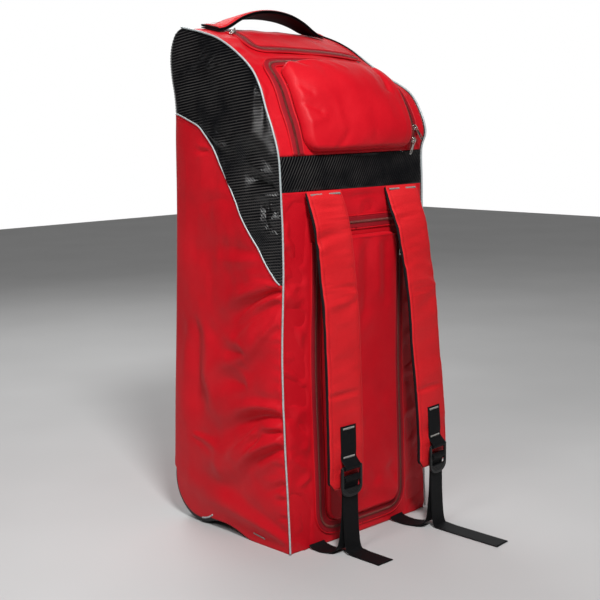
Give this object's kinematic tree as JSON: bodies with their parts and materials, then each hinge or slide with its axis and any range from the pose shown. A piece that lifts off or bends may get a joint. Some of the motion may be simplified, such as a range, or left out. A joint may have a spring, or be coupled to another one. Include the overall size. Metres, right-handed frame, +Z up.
{
  "type": "wheeled duffel bag",
  "caption": "Tall upright wheeled duffel bag in red cloth with ribbed black side panels, raised front pockets, padded shoulder straps with buckles, a carrying handle and rear wheels.",
  "frame": {"origin": "on the floor, below the middle of the whole, with the loose tails laid out in front", "axes": "+X to the right seen from the pocket side, -Y the pocket side, +Z up"},
  "size_m": [0.3982, 0.562, 0.9572],
  "materials": {
    "red_polyester": "satin coated weave",
    "strap_polyester": "matt weave over foam",
    "ribbed_vinyl": "glossy coated cloth with fine ribs",
    "base_cloth": "matt coated cloth",
    "zip_tape": "matt woven tape with a coil",
    "reflective_piping": "satin reflective",
    "black_webbing": "ribbed webbing",
    "black_plastic": "fine grained",
    "wheel_rubber": "matt",
    "nickel": "polished"
  },
  "bodies": {
    "bag": {"side_panel_left": "red_polyester", "carbon_panel_left": "ribbed_vinyl", "front_piping_left": "reflective_piping", "carbon_piping_left": "reflective_piping", "side_panel_right": "red_polyester", "carbon_panel_right": "ribbed_vinyl", "front_piping_right": "reflective_piping", "carbon_piping_right": "reflective_piping", "front_panel": "red_polyester", "chest_band": "ribbed_vinyl", "top_panel": "red_polyester", "wheel_housing_left": "black_plastic", "wheel_axle_left": "nickel", "wheel_housing_right": "black_plastic", "wheel_axle_right": "nickel", "back_panel": "red_polyester", "base_panel": "base_cloth", "upper_pocket": "red_polyester", "lower_pocket": "red_polyester", "upper_pocket_zip": "zip_tape", "top_zip": "zip_tape", "lower_pocket_zip": "zip_tape", "slot_zip": "zip_tape", "shoulder_strap_left": "strap_polyester", "ladder_lock_left": "black_plastic", "buckle_loop_left": "black_webbing", "adjuster_webbing_left": "black_webbing", "shoulder_strap_right": "strap_polyester", "ladder_lock_right": "black_plastic", "buckle_loop_right": "black_webbing", "adjuster_webbing_right": "black_webbing", "handle_grip": "strap_polyester", "handle_backing": "black_webbing", "top_zip_slider": "nickel", "upper_pocket_zip_a_slider": "nickel", "upper_pocket_zip_b_slider": "nickel", "slot_zip_slider": "nickel", "slot_zip_pull": "nickel", "lower_pocket_zip_slider": "nickel", "lower_pocket_zip_pull": "nickel"},
    "wheel_left": {"wheel_tyre_left": "wheel_rubber", "wheel_hub_left": "black_plastic"},
    "wheel_right": {"wheel_tyre_right": "wheel_rubber", "wheel_hub_right": "black_plastic"},
    "top_pull": {"top_zip_pull": "nickel"},
    "pocket_pull_a": {"upper_pocket_zip_a_pull": "nickel"},
    "pocket_pull_b": {"upper_pocket_zip_b_pull": "nickel"}
  },
  "joints": [
    {"name": "wheel_left_spin", "type": "hinge", "parent": "bag", "child": "wheel_left", "pos_m": [-0.15, 0.2321, 0.048], "axis": [1, 0, 0], "continuous": true},
    {"name": "wheel_right_spin", "type": "hinge", "parent": "bag", "child": "wheel_right", "pos_m": [0.15, 0.2321, 0.048], "axis": [1, 0, 0], "continuous": true},
    {"name": "top_pull_swing", "type": "hinge", "parent": "bag", "child": "top_pull", "pos_m": [-0.11897, 0.14433, 0.91541], "axis": [-0.593, 0.784, 0.1833], "range_deg": [0, 140]},
    {"name": "pocket_pull_a_swing", "type": "hinge", "parent": "bag", "child": "pocket_pull_a", "pos_m": [0.14334, -0.05421, 0.73865], "axis": [-0.8285, -0.1525, -0.5388], "range_deg": [0, 140]},
    {"name": "pocket_pull_b_swing", "type": "hinge", "parent": "bag", "child": "pocket_pull_b", "pos_m": [0.14337, -0.05186, 0.71378], "axis": [-0.9958, -0.0871, 0.0283], "range_deg": [0, 110]}
  ]
}
